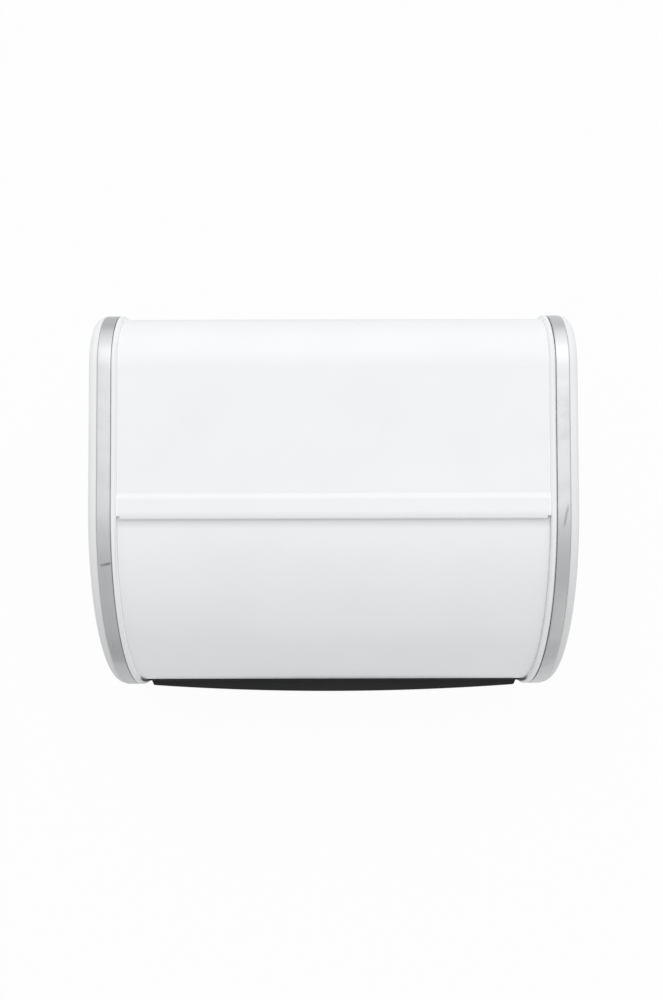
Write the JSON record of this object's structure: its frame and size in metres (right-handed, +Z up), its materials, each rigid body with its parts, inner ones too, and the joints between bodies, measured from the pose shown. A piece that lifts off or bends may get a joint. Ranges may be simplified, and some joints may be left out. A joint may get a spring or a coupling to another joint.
{
  "type": "bread box",
  "caption": "Bread box with a flat sheet-metal top, moulded ends with bright trim, and a quarter-round front lid that rolls back inside on side pivots, with a dark grip.",
  "frame": {"origin": "on the table, at the centre of the box's width and of its depth with the grip", "axes": "+X along the width to the right, +Y to the back, +Z up; the lid and its grip face -Y"},
  "size_m": [0.35, 0.2934, 0.18],
  "materials": {
    "painted_steel": "satin",
    "white_plastic": "satin",
    "bright_trim": "polished",
    "black_plastic": "matte",
    "black_rubber": "matte",
    "zinc_steel": "satin",
    "natural_nylon": "matte"
  },
  "bodies": {
    "box": {"body_shell": "painted_steel", "side_plate_left": "white_plastic", "side_plate_right": "white_plastic", "trim_band_left": "bright_trim", "trim_band_right": "bright_trim", "end_cover_left": "white_plastic", "end_cover_right": "white_plastic", "pivot_pin_left": "zinc_steel", "pivot_pin_right": "zinc_steel", "front_stop_sleeves": "black_rubber", "rear_stop_sleeves": "black_rubber", "foot_front_left": "black_rubber", "foot_front_right": "black_rubber", "foot_rear_left": "black_rubber", "foot_rear_right": "black_rubber", "cover_screws": "zinc_steel", "shell_screws": "zinc_steel"},
    "lid": {"lid_panel": "painted_steel", "lid_cheek_left": "painted_steel", "lid_cheek_right": "painted_steel", "lid_grip": "black_plastic", "pivot_bush_left": "natural_nylon", "pivot_bush_right": "natural_nylon", "grip_screws": "zinc_steel"}
  },
  "joints": [
    {"name": "lid_roll", "type": "hinge", "parent": "box", "child": "lid", "pos_m": [0, 0.0027, 0.038], "axis": [-1, 0, 0], "range_deg": [0, 80]}
  ]
}
